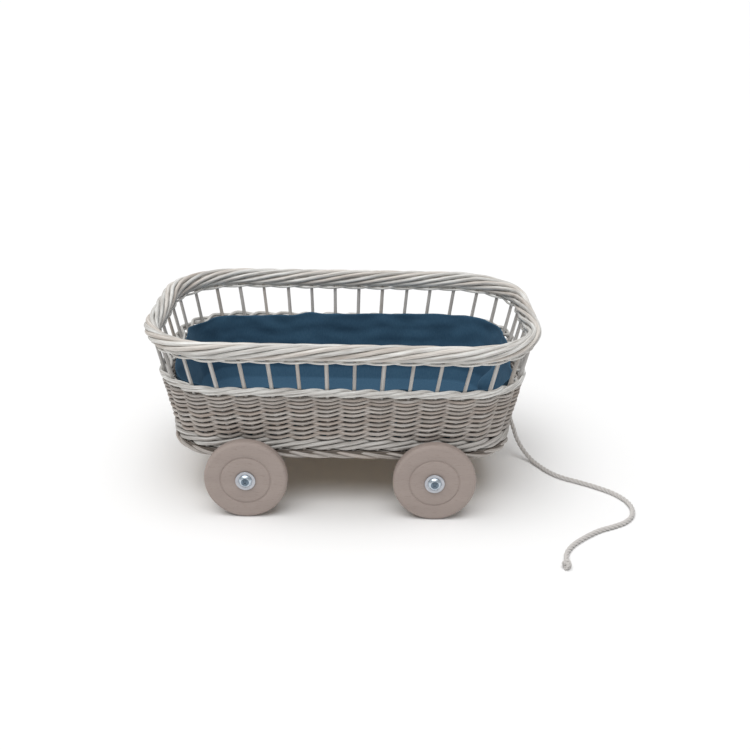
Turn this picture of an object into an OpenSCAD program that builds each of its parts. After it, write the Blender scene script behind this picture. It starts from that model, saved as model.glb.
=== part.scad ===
// Pull-along doll wagon: an oblong willow basket with flared sides on a plywood
// base, two wooden axle bars, four turned wooden wheels and a cotton pull rope.
// +X is the front, where the rope leaves; +Z is up; the floor is z = 0 and the
// origin lies on it under the middle of the wagon.

/* [Basket] */
// Overall length over the rim
rim_length = 480; // [400:1:600]
// Overall width over the rim
rim_width = 310; // [260:1:400]
// Outer radius of the rim's four corners
rim_corner_r = 99; // [80:1:120]
// Height of the foot's underside above the floor
foot_z = 67; // [60:1:90]
// Lean of the walls above the lower wale, in degrees from upright
flare = 12.8; // [6:0.1:16]
// Open height between the upper wale and the rim
open_h = 33; // [20:1:50]

/* [Willow] */
// Diameter of a stake
stake_d = 4.8; // [3.6:0.1:6]
// Stakes in each quarter of the basket
stakes_per_quarter = 10; // [7:1:12]
// Height of the foot border
foot_h = 7; // [5:0.5:12]
// Width of the foot border
foot_w = 12; // [10:0.5:16]
// Height of one round of the lower wale
lower_round_h = 5; // [5:0.1:8]
// Rounds in the lower wale
lower_rounds = 3; // [3:1:6]
// Thickness of the lower wale
lower_wale_t = 13; // [11:0.5:14]
// Height of one round of the woven wall
wall_round_h = 6.1; // [4.5:0.1:7.5]
// Rounds in the woven wall
wall_rounds = 10; // [6:1:14]
// Thickness of the woven wall
wall_t = 10.4; // [9.5:0.1:13]
// Height of one round of the upper wale
upper_round_h = 4; // [3.6:0.1:6]
// Rounds in the upper wale
upper_rounds = 3; // [2:1:5]
// Thickness of the upper wale
upper_wale_t = 12; // [10:0.5:14]
// Height of the paired row under the rim
pairing_h = 4; // [3:0.5:6]
// Thickness of the paired row under the rim
pairing_t = 10; // [8:0.5:14]
// Height of the twisted rim
rim_h = 22; // [19:0.5:30]
// Width of the twisted rim
rim_w = 18; // [14:0.5:18.5]

/* [Base] */
// Thickness of the plywood base
board_t = 4; // [3:0.5:9]
// How far the base reaches past the stakes' centres
board_lip = 4.5; // [3.5:0.5:6]
// Width of an axle bar
bar_w = 30; // [24:1:45]
// Depth of an axle bar below the middle of its axle screws
bar_below = 13; // [8:0.5:16]
// Distance of a bar screw from the middle of its bar
bar_screw_y = 60; // [30:1:90]
// Shank diameter of a bar screw
bar_screw_d = 4; // [3:0.5:5]

/* [Wheels] */
// Diameter of a wheel
wheel_d = 100; // [80:1:120]
// Thickness of a wheel
wheel_t = 15; // [12:0.5:22]
// Distance between the two axles
wheelbase = 226; // [190:1:260]
// Gap between the basket's lower wale and the wheels
wheel_gap = 9; // [6:0.5:20]
// Radius of a wheel's rounded edges
wheel_edge_r = 4.5; // [2:0.5:5.5]
// Radius of the turned groove on a wheel's face
groove_r = 30; // [20:0.5:38]
// Shank diameter of an axle screw
axle_d = 6; // [5:0.5:8]
// Radial clearance between a wheel and its screw
axle_clear = 0.075; // [0.03:0.005:0.1]
// Free play between a wheel and each washer
axle_play = 0.3; // [0.2:0.05:0.6]
// Diameter of the flat washers
washer_d = 24; // [18:0.5:30]
// Thickness of the flat washers
washer_t = 1.5; // [1:0.1:2.5]
// Diameter of the cup washers
cup_d = 16; // [14:0.5:18]
// Height of the cup washers
cup_h = 3; // [2.5:0.1:4]
// Diameter of an axle screw's head
head_d = 9.5; // [9:0.5:12]

/* [Lining] */
// Thickness of the cloth lining
lining_t = 2; // [1:0.5:4]
// Clearance between the lining and the willow or the base
lining_gap = 0.5; // [0.3:0.1:2]
// Height of the lining's top edge below the top of the upper wale
lining_drop = 0.8; // [0:0.2:20]

/* [Rope] */
// Diameter of the pull rope
rope_d = 6; // [4:0.5:6.5]
// Clearance around the rope in its hole
rope_clear = 0.5; // [0.3:0.1:1]
// Diameter of the stopper knot inside the basket
stop_knot_d = 12.4; // [10:0.2:13]
// Diameter of the knot at the free end
end_knot_d = 10; // [9:0.5:14]

/* [Hidden] */
$fn = 96;

eps = 0.01;

// Heights of the bands, from the foot up
board_z = foot_z + foot_h;
lower_wale_z = board_z + board_t;
wall_z = lower_wale_z + lower_rounds * lower_round_h;
upper_wale_z = wall_z + wall_rounds * wall_round_h;
open_z = upper_wale_z + upper_rounds * upper_round_h;
pairing_z = open_z + open_h;
rim_z = pairing_z + pairing_h;
rim_mid_z = rim_z + rim_h / 2;

// The plan is a rectangle with round corners. The corners' centres stay the same at
// every height and only the radius grows, so each band is straight along its sides.
// The stakes rise upright through the lower wale and lean outward above it.
corner_x = rim_length / 2 - rim_corner_r;
corner_y = rim_width / 2 - rim_corner_r;
bend_rise = 1.2;
bend_z = wall_z + bend_rise;
function stake_r(z) = rim_corner_r - rim_w / 2 - (rim_mid_z - max(z, bend_z)) * tan(flare);

// Stakes stand at an even pitch around the basket, measured at the middle of the open row
open_r = stake_r((open_z + pairing_z) / 2);
corner_arc = open_r * PI / 2;
stake_pitch = (corner_x + corner_y + corner_arc) / stakes_per_quarter;
// Numbers of the first corner stake and the first side stake in a quarter
first_corner = ceil(corner_y / stake_pitch - 0.5);
first_side = ceil((corner_y + corner_arc) / stake_pitch - 0.5);
stake_embed = 1.5;
// A stake is thicker below its bend, and the leaning part starts a little inside that
butt_d = stake_d + 0.6;
bend_lap = 1;
// The middle of a woven band reaches this far past its rods' centres or its stakes
core_lap = 0.5;
stake_lo = foot_z + stake_embed;
stake_hi = rim_z + rim_h * 0.6;

// Wheels, seen along an axle from the bar's end outward
axle_z = wheel_d / 2;
wheel_in_y = corner_y + stake_r(bend_z) + lower_wale_t / 2 + wheel_gap;
bar_length = 2 * (wheel_in_y - washer_t - axle_play);
bar_h = foot_z - axle_z + bar_below;
outer_washer_at = wheel_t + axle_play;
cup_at = outer_washer_at + washer_t;
axle_screw_depth = 40;
head_cone_h = cup_h - 1;
head_dome_h = 1.2;
inner_washer_d = washer_d * 0.75;
bar_foot_gap = 0.5;

// Lining
lining_out = max(lower_wale_t, wall_t, upper_wale_t) / 2 + lining_gap;
lining_z = lower_wale_z + lining_gap;
lining_top = open_z - lining_drop;

// Rope: where it leaves the lower wale, in a hole that slopes down and out at 45 degrees
rope_exit = [210.5, 33, 83];
rope_hole_length = 40;
stop_knot_at = [189, 33, 104.5];
// The lining's pocket over the stop knot, from its blunt inner end to past the willow wall
pocket_clear = 0.8;
pocket_depth = 24;
pocket_mouth_r = 18;
end_knot_at = [259, -247, end_knot_d / 2];
rope_route = [[191.5, 33, 102], [200, 33, 93.5], [210.5, 33, 83], [215.5, 33, 77.5], [219.5, 33, 71],
              [222.5, 33, 64], [224.5, 33, 57], [227, 33, 49], [230.5, 32, 40], [234, 30, 30],
              [239, 25.5, 20], [246, 18, 11], [254, 7.5, 5], [262, -6, 3.1], [270, -20, 3.1],
              [279, -32, 3.1], [291, -42, 3.1], [308, -52, 3.1], [328, -65, 3.1], [346, -80, 3.1],
              [358, -98, 3.1], [362, -118, 3.1], [357, -138, 3.1], [345, -153, 3.1],
              [329, -163, 3.1], [310, -173, 3.1], [291, -188, 3.1], [274, -205, 3.1],
              [263, -223, 3.1], [259, -243, 3.1]];
rope_sides = 10;
rope_steps = 2;

// ---- Shapes that repeat ----

// Carries a profile drawn in radius and height once round the basket
module around_basket() {
    for (k = [0:3]) {
        out = k % 2 == 0 ? corner_x : corner_y;
        along = k % 2 == 0 ? corner_y : corner_x;
        rotate([0, 0, 90 * k]) translate([out, 0, 0]) {
            rotate([90, 0, 0]) linear_extrude(2 * along, center = true) children();
            translate([0, along, 0]) rotate_extrude(angle = 90) children();
        }
    }
}

// A flat plate of the basket's plan, grown by r from the corners' centres
module plan_plate(r, z, t) {
    translate([0, 0, z]) linear_extrude(t) union() {
        square([2 * (corner_x + r), 2 * corner_y], center = true);
        square([2 * corner_x, 2 * (corner_y + r)], center = true);
        for (x = [-1, 1], y = [-1, 1]) translate([x * corner_x, y * corner_y]) circle(r);
    }
}

// Profile of a woven band: rounds of rods lying inside and outside the stakes
module band_profile(z, round_h, rounds, t) {
    rod_off = t / 2 - round_h / 2;
    core = max(rod_off, butt_d / 2) + core_lap;
    top = z + round_h * rounds;
    polygon([[stake_r(z) - core, z], [stake_r(z) + core, z],
             [stake_r(top) + core, top], [stake_r(top) - core, top]]);
    for (i = [0:rounds - 1], side = [-1, 1]) {
        rod_z = z + round_h * (i + 0.5);
        translate([stake_r(rod_z) + side * rod_off, rod_z]) circle(d = round_h, $fn = 48);
    }
}

// Profile with two half-round sides or ends, w wide and h high
module stadium_profile(r, z, w, h) {
    d = min(w, h);
    square_w = w - d;
    square_h = h - d;
    for (x = [-1, 1], y = [-1, 1])
        translate([r + x * square_w / 2, z + h / 2 + y * square_h / 2]) circle(d = d, $fn = 64);
    if (w > h) translate([r - square_w / 2, z]) square([square_w, h]);
    if (h > w) translate([r - w / 2, z + d / 2]) square([w, square_h]);
}

// One stake of the front-left quarter, counted from the middle of the front end
module stake(i) {
    s = (i + 0.5) * stake_pitch;
    on_end = i < first_corner;
    on_side = i >= first_side;
    turn = on_end ? 0 : on_side ? 90 : (s - corner_y) / open_r * 180 / PI;
    x = on_side ? corner_x + corner_y + corner_arc - s : corner_x;
    y = on_end ? s : corner_y;
    translate([x, y, 0]) rotate([0, 0, turn]) translate([stake_r(bend_z), 0, 0]) {
        translate([0, 0, stake_lo]) cylinder(h = bend_z - stake_lo, d = butt_d, $fn = 32);
        translate([0, 0, bend_z]) rotate([0, flare, 0]) translate([0, 0, -bend_lap])
            cylinder(h = (stake_hi - bend_z) / cos(flare) + bend_lap, d = stake_d, $fn = 32);
    }
}

// The stakes numbered first to last, in the quarters that sides names as [front, left] signs
module stake_group(sides, first, last) {
    for (q = sides)
        mirror([q[0] < 0 ? 1 : 0, 0, 0]) mirror([0, q[1] < 0 ? 1 : 0, 0])
            for (i = [first:last]) stake(i);
}

module all_stakes() {
    stake_group([[1, 1], [1, -1], [-1, 1], [-1, -1]], 0, stakes_per_quarter - 1);
}

// The sloping hole that the rope passes through
module rope_hole() {
    translate(rope_exit) rotate([0, 135, 0])
        cylinder(h = rope_hole_length, d = rope_d + 2 * rope_clear, center = true);
}

// Places children at one wheel, with their +Z along the axle, outward from the wheel's inner face
module at_wheel(front, left) {
    translate([front * wheelbase / 2, left * wheel_in_y, axle_z]) rotate([-90 * left, 0, 0]) children();
}

module at_every_wheel() {
    for (front = [1, -1], left = [1, -1]) at_wheel(front, left) children();
}

module flat_washer(d) {
    difference() {
        cylinder(h = washer_t, d = d);
        translate([0, 0, -1]) cylinder(h = washer_t + 2, d = axle_d);
    }
}

// ---- Basket ----

module base_board() {
    color("burlywood") difference() {
        plan_plate(stake_r(board_z) + board_lip, board_z, board_t);
        all_stakes();
        at_bar_screws() bar_screw();
    }
}

module foot_border() {
    color("darkgray") difference() {
        around_basket() stadium_profile(stake_r(foot_z + foot_h / 2), foot_z, foot_w, foot_h);
        all_stakes();
    }
}

module lower_wale() {
    color("gainsboro") difference() {
        around_basket() band_profile(lower_wale_z, lower_round_h, lower_rounds, lower_wale_t);
        all_stakes();
        rope_hole();
    }
}

module woven_wall() {
    color("silver") difference() {
        around_basket() band_profile(wall_z, wall_round_h, wall_rounds, wall_t);
        all_stakes();
        rope_hole();
    }
}

module upper_wale() {
    color("gainsboro") difference() {
        around_basket() band_profile(upper_wale_z, upper_round_h, upper_rounds, upper_wale_t);
        all_stakes();
    }
}

module rim_pairing() {
    color("silver") difference() {
        around_basket()
            stadium_profile(stake_r(pairing_z + pairing_h / 2), pairing_z, pairing_t, pairing_h);
        all_stakes();
    }
}

module rim_border() {
    color("whitesmoke") difference() {
        around_basket() stadium_profile(stake_r(rim_mid_z), rim_z, rim_w, rim_h);
        all_stakes();
    }
}

module end_stakes(front) {
    color("lightgray") stake_group([[front, 1], [front, -1]], 0, first_corner - 1);
}

module side_stakes(left) {
    color("lightgray") stake_group([[1, left], [-1, left]], first_side, stakes_per_quarter - 1);
}

module corner_stakes(front, left) {
    color("lightgray") stake_group([[front, left]], first_corner, first_side - 1);
}

// ---- Lining ----

// Profile of the lining's wall, t thick
module lining_profile(t) {
    polygon([for (z = [lining_z, bend_z, lining_top]) [stake_r(z) - lining_out, z],
             for (z = [lining_top, bend_z, lining_z]) [stake_r(z) - lining_out - t, z]]);
}

// Where the cloth bulges inward over the rope's knot, made larger all round by grow
module knot_pocket(grow) {
    knot_r = stop_knot_d / 2;
    translate(stop_knot_at) rotate([0, 90, 0]) translate([0, 0, -knot_r - pocket_clear - grow])
        cylinder(h = pocket_depth + grow, r1 = knot_r - pocket_clear + grow, r2 = pocket_mouth_r + grow);
}

module cloth_lining() {
    color("#2f5573") difference() {
        union() {
            around_basket() lining_profile(lining_t);
            plan_plate(stake_r(lining_z) - lining_out - lining_t / 2, lining_z, lining_t);
            intersection() {
                knot_pocket(lining_t);
                around_basket() lining_profile(pocket_depth);
            }
        }
        knot_pocket(0);
    }
}

// ---- Axle bars and their screws ----

module axle_bar(front) {
    tongue = 2 * (corner_y + stake_r(foot_z + foot_h / 2) - foot_w / 2 - bar_foot_gap);
    color("tan") difference() {
        translate([front * wheelbase / 2, 0, 0]) union() {
            translate([-bar_w / 2, -bar_length / 2, foot_z - bar_h]) cube([bar_w, bar_length, bar_h]);
            translate([-bar_w / 2, -tongue / 2, foot_z - eps]) cube([bar_w, tongue, foot_h + eps]);
        }
        for (left = [1, -1]) at_wheel(front, left) axle_screw();
        at_bar_screws() bar_screw();
    }
}

module at_bar_screws() {
    for (front = [1, -1], left = [1, -1])
        translate([front * wheelbase / 2, left * bar_screw_y, lower_wale_z]) children();
}

// A countersunk screw, its head flush with z = 0 and its point down
module bar_screw() {
    head_r = bar_screw_d;
    length = board_t + foot_h + bar_h * 0.6;
    rotate_extrude() polygon([[0, 0], [head_r, 0], [bar_screw_d / 2, -head_r * 0.55],
                              [bar_screw_d / 2, -length], [0, -length - bar_screw_d]]);
}

module bar_screws() {
    color("silver") at_bar_screws() bar_screw();
}

// ---- Wheels and their fastenings ----

module wheel() {
    edge = wheel_d / 2 - wheel_edge_r;
    bore = axle_d / 2 + axle_clear;
    groove_tool_r = 2.4;
    groove_depth = 1;
    color("#8c817a") rotate_extrude() difference() {
        union() {
            translate([bore, 0]) square([edge - bore, wheel_t]);
            translate([bore, wheel_edge_r]) square([wheel_d / 2 - bore, wheel_t - 2 * wheel_edge_r]);
            for (z = [wheel_edge_r, wheel_t - wheel_edge_r]) translate([edge, z]) circle(wheel_edge_r);
        }
        translate([groove_r, wheel_t + groove_tool_r - groove_depth]) circle(groove_tool_r);
    }
}

// A raised countersunk screw that runs through the washers and the wheel into the bar
module axle_screw() {
    seat = cup_at + cup_h;
    tip = axle_play + washer_t + axle_screw_depth;
    recess_w = 1.2;
    recess_l = head_d * 0.55;
    dome_r = (pow(head_d / 2, 2) + pow(head_dome_h, 2)) / (2 * head_dome_h);
    difference() {
        union() {
            rotate_extrude() polygon([[0, -tip - axle_d], [axle_d / 2, -tip],
                                      [axle_d / 2, seat - head_cone_h], [head_d / 2, seat], [0, seat]]);
            intersection() {
                translate([0, 0, seat + head_dome_h - dome_r]) sphere(dome_r);
                translate([0, 0, seat - eps]) cylinder(h = head_dome_h + 1, d = head_d);
            }
        }
        for (turn = [45, 135]) rotate([0, 0, turn])
            translate([-recess_l / 2, -recess_w / 2, seat]) cube([recess_l, recess_w, head_dome_h + 1]);
    }
}

module cup_washer() {
    rim_t = 0.6;
    color("silver") rotate_extrude()
        polygon([[axle_d / 2, 0], [cup_d / 2, 0], [cup_d / 2, rim_t], [head_d / 2 + rim_t, cup_h],
                 [head_d / 2, cup_h], [axle_d / 2, cup_h - head_cone_h]]);
}

module axle_screws() {
    color("silver") at_every_wheel() axle_screw();
}

module cup_washers() {
    color("silver") at_every_wheel() translate([0, 0, cup_at]) cup_washer();
}

module outer_washers() {
    color("lightsteelblue") at_every_wheel() translate([0, 0, outer_washer_at]) flat_washer(washer_d);
}

module inner_washers() {
    color("silver") at_every_wheel()
        translate([0, 0, -axle_play - washer_t]) flat_washer(inner_washer_d);
}

// ---- Rope ----

// A point of the smooth curve through the route, t from 0 to the last point's number
function route_at(p, i) = p[max(0, min(len(p) - 1, i))];
function curve_point(p, t) =
    let (i = min(floor(t), len(p) - 2), u = t - i,
         a = route_at(p, i - 1), b = route_at(p, i), c = route_at(p, i + 1), d = route_at(p, i + 2))
    0.5 * (2 * b + (c - a) * u + (2 * a - 5 * b + 4 * c - d) * pow(u, 2)
           + (3 * b - a - 3 * c + d) * pow(u, 3));
function unit(v) = v / norm(v);
// Direction of the route at t, taken between two near points
function route_way(p, t) =
    unit(curve_point(p, min(len(p) - 1, t + 0.1)) - curve_point(p, max(0, t - 0.1)));

module pull_rope() {
    last = len(rope_route) - 1;
    rings = [for (k = [0:last * rope_steps]) k / rope_steps];
    points = [for (t = rings)
        let (here = curve_point(rope_route, t), along = route_way(rope_route, t),
             side = unit(cross(along, [0.3, -0.2, 1])), up = cross(side, along))
        for (a = [0:rope_sides - 1])
            here + rope_d / 2 * (cos(360 * a / rope_sides) * side + sin(360 * a / rope_sides) * up)];
    walls = [for (k = [0:len(rings) - 2], a = [0:rope_sides - 1])
        let (n = (a + 1) % rope_sides, lo = k * rope_sides, hi = lo + rope_sides)
        [lo + a, hi + a, hi + n, lo + n]];
    first_cap = [for (a = [0:rope_sides - 1]) a];
    last_cap = [for (a = [rope_sides - 1:-1:0]) (len(rings) - 1) * rope_sides + a];
    color("lightgray") polyhedron(points, concat(walls, [first_cap, last_cap]));
}

module rope_stop_knot() {
    color("lightgray") translate(stop_knot_at) sphere(d = stop_knot_d, $fn = 48);
}

// The knot at the free end, with the rope's short tail
module rope_end_knot() {
    tail = 12;
    tail_d = rope_d * 0.9;
    color("lightgray") translate(end_knot_at) {
        sphere(d = end_knot_d, $fn = 48);
        translate([0, 0, rope_d / 2 - end_knot_d / 2]) rotate([90, 0, -25]) cylinder(h = tail, d = tail_d);
    }
}

base_board();
foot_border();
lower_wale();
woven_wall();
upper_wale();
rim_pairing();
rim_border();
end_stakes(1);  // stakes_front
end_stakes(-1);  // stakes_rear
side_stakes(1);  // stakes_left
side_stakes(-1);  // stakes_right
corner_stakes(1, 1);  // stakes_front_left
corner_stakes(1, -1);  // stakes_front_right
corner_stakes(-1, 1);  // stakes_rear_left
corner_stakes(-1, -1);  // stakes_rear_right
cloth_lining();
axle_bar(1);  // front_axle_bar
axle_bar(-1);  // rear_axle_bar
bar_screws();
at_wheel(1, 1) wheel();  // wheel_front_left
at_wheel(1, -1) wheel();  // wheel_front_right
at_wheel(-1, 1) wheel();  // wheel_rear_left
at_wheel(-1, -1) wheel();  // wheel_rear_right
axle_screws();
cup_washers();
outer_washers();
inner_washers();
pull_rope();
rope_stop_knot();
rope_end_knot();
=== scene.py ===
import math

import bmesh
import bpy
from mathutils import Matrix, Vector, noise


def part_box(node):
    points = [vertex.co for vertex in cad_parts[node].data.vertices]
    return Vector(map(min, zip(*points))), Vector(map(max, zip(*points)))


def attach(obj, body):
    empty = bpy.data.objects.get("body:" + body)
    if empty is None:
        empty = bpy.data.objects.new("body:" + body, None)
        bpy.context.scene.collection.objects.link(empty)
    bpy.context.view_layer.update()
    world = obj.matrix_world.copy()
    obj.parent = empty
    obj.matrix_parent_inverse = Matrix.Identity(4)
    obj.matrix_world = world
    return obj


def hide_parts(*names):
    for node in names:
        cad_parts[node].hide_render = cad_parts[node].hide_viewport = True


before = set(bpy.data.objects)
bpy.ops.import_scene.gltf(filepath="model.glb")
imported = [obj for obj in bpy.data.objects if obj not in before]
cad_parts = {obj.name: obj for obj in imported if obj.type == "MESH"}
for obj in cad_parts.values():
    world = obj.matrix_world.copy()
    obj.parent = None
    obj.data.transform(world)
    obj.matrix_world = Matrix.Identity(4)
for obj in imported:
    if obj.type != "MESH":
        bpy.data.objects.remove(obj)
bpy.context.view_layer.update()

MM = 0.001
WAGON = "wagon"

# ---------------------------------------------------------------- sizes of the basket
rim_lo, rim_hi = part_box("rim_border")
RIM_CORNER = 99 * MM  # outside radius of the basket's corners at the rim
RIM_WIDTH = 18 * MM
LEAN = math.tan(math.radians(12.8))  # how far the stakes lean out for each metre of height
BEND_RISE = 1.2 * MM  # the stakes bend this far above the lower wale
STAKES = 40
CORNER_X = rim_hi.x - RIM_CORNER
CORNER_Y = rim_hi.y - RIM_CORNER
rim_mid_z = (rim_lo.z + rim_hi.z) / 2
lower_wale_lo, lower_wale_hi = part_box("lower_wale")
upper_wale_lo, upper_wale_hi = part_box("upper_wale")
pairing_lo, pairing_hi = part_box("rim_pairing")
foot_lo, foot_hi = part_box("foot_border")
bend_z = lower_wale_hi.z + BEND_RISE
open_mid_z = (upper_wale_hi.z + pairing_lo.z) / 2


def stake_radius(z):
    """Distance of the stakes' line from the corners' centres at a height."""
    return RIM_CORNER - RIM_WIDTH / 2 - (rim_mid_z - max(z, bend_z)) * LEAN


def around(radius, step):
    """Points and outward directions once round the basket, from the middle of the front towards +Y."""
    points = []
    for quarter, (sx, sy) in enumerate(((1, 1), (-1, 1), (-1, -1), (1, -1))):
        centre = Vector((sx * CORNER_X, sy * CORNER_Y, 0))
        turns = max(2, round(radius * math.pi / 2 / step))
        for i in range(turns + 1):
            angle = (quarter + i / turns) * math.pi / 2
            outward = Vector((math.cos(angle), math.sin(angle), 0))
            points.append((centre + outward * radius, outward))
    front = Vector((1, 0, 0))
    return [(Vector((CORNER_X + radius, 0, 0)), front)] + points


# ---------------------------------------------------------------- node trees and meshes
MATH, VECTOR_MATH = "ShaderNodeMath", "ShaderNodeVectorMath"


def add(tree, kind, *values, named=None, **settings):
    """Add a node, make its settings, then fill its sockets in order, or by name, with links or values."""
    made = tree.nodes.new(kind)
    for name, value in settings.items():
        setattr(made, name, value)
    free = [socket for socket in made.inputs if socket.enabled]
    pairs = list(zip(free, values)) + [(made.inputs[k], v) for k, v in (named or {}).items()]
    for socket, value in pairs:
        if isinstance(value, bpy.types.Node):
            value = next(out for out in value.outputs if out.enabled)
        if isinstance(value, bpy.types.NodeSocket):
            tree.links.new(value, socket)
        elif value is not None:
            socket.default_value = value
    return made


def new_tree(name, inputs):
    """A Geometry Nodes tree with named inputs; its group input and output nodes come with it."""
    tree = bpy.data.node_groups.new(name, "GeometryNodeTree")
    for label, kind, *value in inputs:
        socket = tree.interface.new_socket(label, in_out="INPUT", socket_type="NodeSocket" + kind)
        if value:
            socket.default_value = value[0]
    tree.interface.new_socket("Geometry", in_out="OUTPUT", socket_type="NodeSocketGeometry")
    return tree, add(tree, "NodeGroupInput"), add(tree, "NodeGroupOutput")


def grown(name, host, tree, **values):
    """Run a tree on the host's mesh with these inputs, and keep the result as a plain mesh piece."""
    modifier = host.modifiers.new(name, "NODES")
    modifier.node_group = tree
    for item in tree.interface.items_tree:
        label = item.name.lower().replace(" ", "_")
        if item.in_out == "INPUT" and label in values:
            modifier[item.identifier] = values[label]
    graph = bpy.context.evaluated_depsgraph_get()
    graph.update()
    mesh = bpy.data.meshes.new_from_object(host.evaluated_get(graph), depsgraph=graph)
    mesh.name = name
    host.modifiers.remove(modifier)
    made = bpy.data.objects.new(name, mesh)
    bpy.context.scene.collection.objects.link(made)
    return made


def line_object(name, points, closed=False):
    """A bare mesh line through points, for a tree to work from."""
    mesh = bpy.data.meshes.new(name)
    edges = [(i, i + 1) for i in range(len(points) - 1)]
    if closed:
        edges.append((len(points) - 1, 0))
    mesh.from_pydata([tuple(p) for p in points], edges, [])
    made = bpy.data.objects.new(name, mesh)
    bpy.context.scene.collection.objects.link(made)
    return made


def mesh_piece(name, verts, faces, material):
    """A smooth piece from plain vertices and faces."""
    mesh = bpy.data.meshes.new(name)
    mesh.from_pydata([tuple(v) for v in verts], [], faces)
    mesh.materials.append(material)
    mesh.shade_smooth()
    made = bpy.data.objects.new(name, mesh)
    bpy.context.scene.collection.objects.link(made)
    return made


# ---------------------------------------------------------------- colours
def linear(code):
    """One sRGB hex colour as the linear colour that shaders take."""
    parts = [int(code[i:i + 2], 16) / 255 for i in (0, 2, 4)]
    return tuple(c / 12.92 if c <= 0.04045 else ((c + 0.055) / 1.055) ** 2.4 for c in parts) + (1.0,)


def new_material(name):
    """An empty node material and its output node."""
    material = bpy.data.materials.new(name)
    material.use_nodes = True
    material.node_tree.nodes.clear()
    return material, material.node_tree, add(material.node_tree, "ShaderNodeOutputMaterial")


# Whitewashed willow: peeled rods brushed with thin white wash. The wash lies unevenly along
# each rod, so pinkish and grey wood shows through, and the rods differ from one another.
def whitewashed_willow(name, wash, wood, shade, warm):
    material, tree, out = new_material(name)
    grain = add(tree, "ShaderNodeAttribute", attribute_name="grain")
    parts = add(tree, "ShaderNodeSeparateXYZ", grain.outputs["Vector"])
    skin = add(tree, "ShaderNodeAttribute", attribute_name="skin")
    # Fibres 0.4 mm wide and about 15 mm long run along the rod.
    shift = add(tree, MATH, parts.outputs["Y"], 40.0, operation="MULTIPLY")
    length = add(tree, MATH, parts.outputs["X"], 66.0, shift, operation="MULTIPLY_ADD")
    stretch = add(tree, "ShaderNodeCombineXYZ", 0.0, 0.0, length)
    around_rod = add(tree, VECTOR_MATH, skin.outputs["Vector"], 5.0, operation="SCALE")
    fibre_at = add(tree, VECTOR_MATH, around_rod, stretch, operation="ADD")
    fibre = add(tree, "ShaderNodeTexNoise", fibre_at, 1.0, 4.0, 0.6)
    # Patches of thin wash 20 to 40 mm long
    patch_at = add(tree, VECTOR_MATH, fibre_at, (0.25, 0.25, 0.42), operation="MULTIPLY")
    patch = add(tree, "ShaderNodeTexNoise", patch_at, 1.0, 3.0, 0.55)
    worn = add(tree, "ShaderNodeMapRange", patch, 0.36, 0.68, 0.0, 1.0)
    base = add(tree, "ShaderNodeMix", worn, linear(wash), linear(wood), data_type="RGBA")
    # Each rod has its own tone, and a few are plainly warmer.
    own = add(tree, "ShaderNodeMapRange", parts.outputs["Y"], 0.0, 1.0, 0.86, 1.1)
    toned = add(tree, VECTOR_MATH, base, own, operation="SCALE")
    warmth = add(tree, "ShaderNodeMapRange", parts.outputs["Z"], 0.7, 1.0, 0.0, 0.5)
    warmed = add(tree, "ShaderNodeMix", warmth, toned, linear(warm), data_type="RGBA")
    lines = add(tree, "ShaderNodeMapRange", fibre, 0.3, 0.5, 0.45, 0.0)
    lined = add(tree, "ShaderNodeMix", lines, warmed, linear(shade), data_type="RGBA")
    rough = add(tree, "ShaderNodeMapRange", worn, 0.0, 1.0, 0.5, 0.72)
    bump = add(tree, "ShaderNodeBump", named={"Strength": 0.35, "Distance": 0.25 * MM, "Height": fibre})
    shader = add(tree, "ShaderNodeBsdfPrincipled",
                 named={"Base Color": lined, "Roughness": rough, "Normal": bump,
                        "Specular IOR Level": 0.35})
    to_surface(tree, shader, out)
    return material


def to_surface(tree, shader, out):
    """The shader goes to the material's surface."""
    tree.links.new(shader.outputs[0], out.inputs["Surface"])


# Zinc plate on steel: bluish white and a little dull, with a fine grain. Each kind of
# fitting comes from its own plating bath, so its tone differs.
def zinc_plate(name, light, dark, smooth, dull):
    material, tree, out = new_material(name)
    place = add(tree, "ShaderNodeTexCoord").outputs["Object"]
    grain = add(tree, "ShaderNodeTexNoise", place, 1400.0, 3.0, 0.6)
    cloud = add(tree, "ShaderNodeTexNoise", place, 260.0, 2.0, 0.5)
    tone = add(tree, "ShaderNodeMix", cloud, linear(dark), linear(light), data_type="RGBA")
    rough = add(tree, "ShaderNodeMapRange", grain, 0.3, 0.7, smooth, dull)
    bump = add(tree, "ShaderNodeBump", named={"Strength": 0.1, "Distance": 0.05 * MM, "Height": grain})
    shader = add(tree, "ShaderNodeBsdfPrincipled",
                 named={"Base Color": tone, "Metallic": 0.85, "Roughness": rough, "Normal": bump})
    to_surface(tree, shader, out)
    return material


# Turned beech with a thin grey-brown stain: short darker flecks, faint rings left by the lathe.
def stained_beech():
    material, tree, out = new_material("stained turned beech")
    place = add(tree, "ShaderNodeTexCoord").outputs["Object"]
    # The board's grain runs level; flecks are about 0.7 mm thick and 6 mm long.
    stretch = add(tree, VECTOR_MATH, place, (0.14, 0.5, 1.0), operation="MULTIPLY")
    fleck = add(tree, "ShaderNodeTexNoise", stretch, 900.0, 3.0, 0.6)
    bands = add(tree, "ShaderNodeTexNoise", stretch, 90.0, 3.0, 0.5)
    base = add(tree, "ShaderNodeMix", bands, linear("998C86"), linear("A99C95"), data_type="RGBA")
    flecks = add(tree, "ShaderNodeMapRange", fleck, 0.56, 0.72, 0.0, 0.4)
    flecked = add(tree, "ShaderNodeMix", flecks, base, linear("7C6E67"), data_type="RGBA")
    bump = add(tree, "ShaderNodeBump", named={"Strength": 0.2, "Distance": 0.2 * MM, "Height": fleck})
    shader = add(tree, "ShaderNodeBsdfPrincipled",
                 named={"Base Color": flecked, "Roughness": 0.62, "Normal": bump,
                        "Specular IOR Level": 0.3})
    to_surface(tree, shader, out)
    return material


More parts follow.
